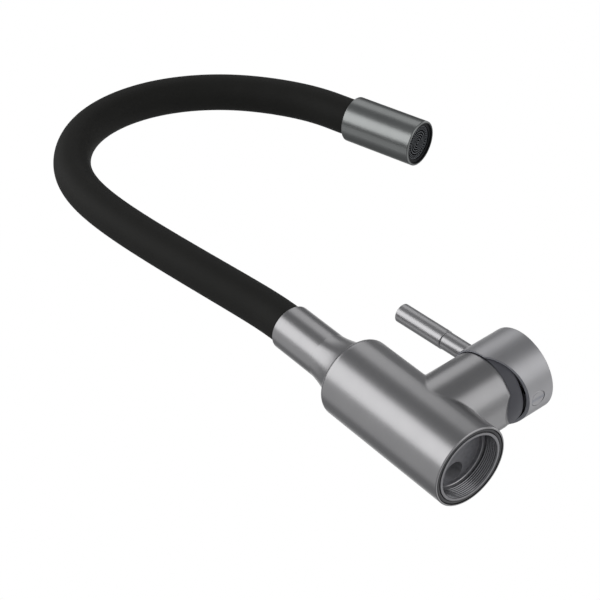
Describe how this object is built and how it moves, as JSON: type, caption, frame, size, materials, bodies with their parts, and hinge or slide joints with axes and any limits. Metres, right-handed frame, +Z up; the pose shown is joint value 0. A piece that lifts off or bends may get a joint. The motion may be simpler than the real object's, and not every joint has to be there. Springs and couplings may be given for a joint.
{
  "type": "kitchen mixer tap",
  "caption": "Single-lever kitchen mixer tap: round body, side branch with cap handle and pin lever, swivelling neck, bent black hose spout and an outlet sleeve with aerator.",
  "frame": {"origin": "centre of the foot's threaded bore, in the plane of the foot's face", "axes": "+Z up along the body, +X along the branch towards the handle, the way the spout reaches; symmetric about the XZ plane"},
  "size_m": [0.2255, 0.0504, 0.4247],
  "materials": {
    "brushed_metal": "satin, brushed round the axis",
    "brushed_sleeve": "satin, brushed round the axis",
    "dark_dome": "satin dark grey",
    "hose_silicone": "matt black",
    "core_metal": "plain metal",
    "tube_plastic": "milky",
    "seal_rubber": "matt",
    "bearing_plastic": "smooth",
    "cartridge_plastic": "moulded",
    "ceramic": "lapped",
    "brass": "turned",
    "steel": "plain",
    "black_plastic": "moulded, slightly glossy"
  },
  "bodies": {
    "base": {"mixer_body": "brushed_metal", "base_seal": "seal_rubber", "split_bush": "bearing_plastic", "slide_washer": "bearing_plastic", "snap_ring": "steel", "cartridge_housing": "cartridge_plastic", "cartridge_base": "cartridge_plastic", "cartridge_seals": "seal_rubber", "cartridge_nut": "brass", "ceramic_disc_fixed": "ceramic", "dome_cover": "dark_dome"},
    "neck": {"spout_collar": "brushed_metal", "collar_o_rings": "seal_rubber", "hose_lower_fitting": "brass", "hose_cover_1": "hose_silicone", "hose_core_1": "core_metal", "water_tube_1": "tube_plastic"},
    "hose_low": {"hose_cover_2": "hose_silicone", "hose_core_2": "core_metal", "water_tube_2": "tube_plastic"},
    "hose_crown": {"hose_cover_3": "hose_silicone", "hose_core_3": "core_metal", "water_tube_3": "tube_plastic"},
    "hose_high": {"hose_cover_4": "hose_silicone", "hose_core_4": "core_metal", "water_tube_4": "tube_plastic"},
    "outlet": {"hose_cover_5": "hose_silicone", "hose_core_5": "core_metal", "water_tube_5": "tube_plastic", "hose_upper_fitting": "brass", "outlet_sleeve": "brushed_sleeve", "aerator_seal": "seal_rubber", "aerator_housing": "black_plastic", "aerator_insert": "black_plastic"},
    "cartridge_turning": {"cartridge_rotor": "cartridge_plastic", "spindle_pin": "steel"},
    "handle": {"spindle": "brass", "handle_cap": "brushed_metal", "handle_grub_screw": "steel", "grub_screw_plug": "brushed_metal", "lever_stem": "brushed_metal", "lever_grip": "brushed_metal"},
    "mixing_discs": {"disc_carrier": "cartridge_plastic", "ceramic_disc_moving": "ceramic"}
  },
  "joints": [
    {"name": "spout_swivel", "type": "hinge", "parent": "base", "child": "neck", "pos_m": [0, 0, 0.09], "axis": [0, 0, 1], "continuous": true},
    {"name": "bend_low", "type": "hinge", "parent": "neck", "child": "hose_low", "pos_m": [-0.011, 0, 0.253], "axis": [0, 1, 0], "range_deg": [-25, 15]},
    {"name": "bend_shoulder", "type": "hinge", "parent": "hose_low", "child": "hose_crown", "pos_m": [-0.01125, 0, 0.36425], "axis": [0, 1, 0], "range_deg": [-25, 15]},
    {"name": "bend_crown", "type": "hinge", "parent": "hose_crown", "child": "hose_high", "pos_m": [0.07675, 0, 0.4075], "axis": [0, 1, 0], "range_deg": [-25, 15]},
    {"name": "bend_outlet", "type": "hinge", "parent": "hose_high", "child": "outlet", "pos_m": [0.15225, 0, 0.33775], "axis": [0, 1, 0], "range_deg": [-25, 15]},
    {"name": "handle_turn", "type": "hinge", "parent": "base", "child": "cartridge_turning", "pos_m": [0.051, 0, 0.04], "axis": [1, 0, 0], "range_deg": [-45, 45]},
    {"name": "handle_tilt", "type": "hinge", "parent": "cartridge_turning", "child": "handle", "pos_m": [0.051, 0, 0.04], "axis": [0, 1, 0], "range_deg": [0, 22]},
    {"name": "disc_slide", "type": "slide", "parent": "cartridge_turning", "child": "mixing_discs", "axis": [0, 0, 1], "range_m": [0, 0.0076]}
  ],
  "couplings": [
    {"joint": "disc_slide", "follows": "handle_tilt", "m_per_rad": 0.018926}
  ]
}
